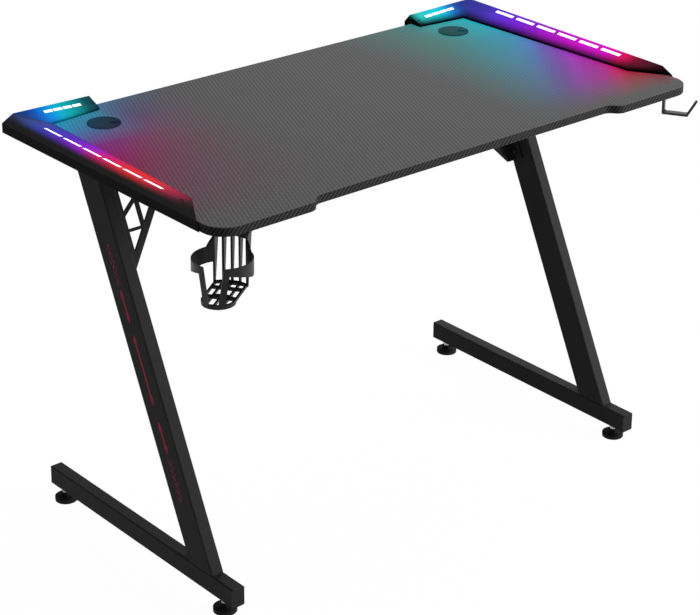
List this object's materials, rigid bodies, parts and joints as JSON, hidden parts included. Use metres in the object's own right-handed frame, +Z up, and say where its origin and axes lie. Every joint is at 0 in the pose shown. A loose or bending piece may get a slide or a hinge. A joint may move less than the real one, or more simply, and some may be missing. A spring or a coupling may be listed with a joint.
{
  "type": "gaming desk",
  "caption": "Gaming desk: a carbon-look board on leaning Z-shaped steel legs, with lit side housings, cable grommets, a cup holder and a headphone hook.",
  "frame": {"origin": "on the floor, under the middle of the desk's whole outline, cup holder included", "axes": "+X to the sitter's right along the board, +Y away from the sitter, +Z up out of the worktop"},
  "size_m": [1.1475, 0.67, 0.7728],
  "materials": {
    "carbon_laminate_board": "fibreboard faced with a carbon-weave laminate, satin",
    "powder_coated_steel": "black powder coat, fine texture, satin",
    "housing_plastic": "moulded, satin",
    "black_plastic": "moulded, matte",
    "cup_plastic": "moulded, satin",
    "hook_steel": "black powder coat",
    "frosted_lens": "frosted, lit from behind",
    "led_board": "white solder mask",
    "plated_steel": "zinc plated",
    "black_screw_steel": "black oxide",
    "foot_rubber": "moulded rubber, matte"
  },
  "bodies": {
    "frame": {"beam_bolts": "plated_steel", "crossbeam": "powder_coated_steel", "cup_holder": "cup_plastic", "cup_holder_screws": "black_screw_steel", "desktop": "carbon_laminate_board", "foot_rivet_nuts": "plated_steel", "grommet_rings": "black_plastic", "gusset_bolts": "black_screw_steel", "headphone_hook": "hook_steel", "hook_screws": "black_screw_steel", "left_back_base_cap": "black_plastic", "left_back_top_cap": "black_plastic", "left_base_bar": "powder_coated_steel", "left_desktop_screws": "black_screw_steel", "left_front_base_cap": "black_plastic", "left_front_top_cap": "black_plastic", "left_gusset": "powder_coated_steel", "left_housing_screws": "black_screw_steel", "left_light_housing": "housing_plastic", "left_long_led_board": "led_board", "left_long_window_lens": "frosted_lens", "left_power_inlet": "plated_steel", "left_short_led_board": "led_board", "left_short_window_lens": "frosted_lens", "left_top_bar": "powder_coated_steel", "left_upright": "powder_coated_steel", "right_back_base_cap": "black_plastic", "right_back_top_cap": "black_plastic", "right_base_bar": "powder_coated_steel", "right_desktop_screws": "black_screw_steel", "right_front_base_cap": "black_plastic", "right_front_top_cap": "black_plastic", "right_gusset": "powder_coated_steel", "right_housing_screws": "black_screw_steel", "right_light_housing": "housing_plastic", "right_long_led_board": "led_board", "right_long_window_lens": "frosted_lens", "right_power_inlet": "plated_steel", "right_short_led_board": "led_board", "right_short_window_lens": "frosted_lens", "right_top_bar": "powder_coated_steel", "right_upright": "powder_coated_steel"},
    "left_front_foot": {"left_front_foot_pad": "foot_rubber", "left_front_foot_stud": "plated_steel"},
    "left_back_foot": {"left_back_foot_pad": "foot_rubber", "left_back_foot_stud": "plated_steel"},
    "left_grommet_cover": {"left_grommet_cover": "black_plastic"},
    "right_front_foot": {"right_front_foot_pad": "foot_rubber", "right_front_foot_stud": "plated_steel"},
    "right_back_foot": {"right_back_foot_pad": "foot_rubber", "right_back_foot_stud": "plated_steel"},
    "right_grommet_cover": {"right_grommet_cover": "black_plastic"}
  },
  "joints": [
    {"name": "left_front_foot_height", "type": "slide", "parent": "frame", "child": "left_front_foot", "axis": [0, 0, -1], "range_m": [0, 0.01]},
    {"name": "left_back_foot_height", "type": "slide", "parent": "frame", "child": "left_back_foot", "axis": [0, 0, -1], "range_m": [0, 0.01]},
    {"name": "left_grommet_cover_turn", "type": "hinge", "parent": "frame", "child": "left_grommet_cover", "pos_m": [-0.39325, 0.226, 0.7508], "axis": [0, 0, 1], "continuous": true},
    {"name": "right_front_foot_height", "type": "slide", "parent": "frame", "child": "right_front_foot", "axis": [0, 0, -1], "range_m": [0, 0.01]},
    {"name": "right_back_foot_height", "type": "slide", "parent": "frame", "child": "right_back_foot", "axis": [0, 0, -1], "range_m": [0, 0.01]},
    {"name": "right_grommet_cover_turn", "type": "hinge", "parent": "frame", "child": "right_grommet_cover", "pos_m": [0.43575, 0.226, 0.7508], "axis": [0, 0, 1], "continuous": true}
  ]
}
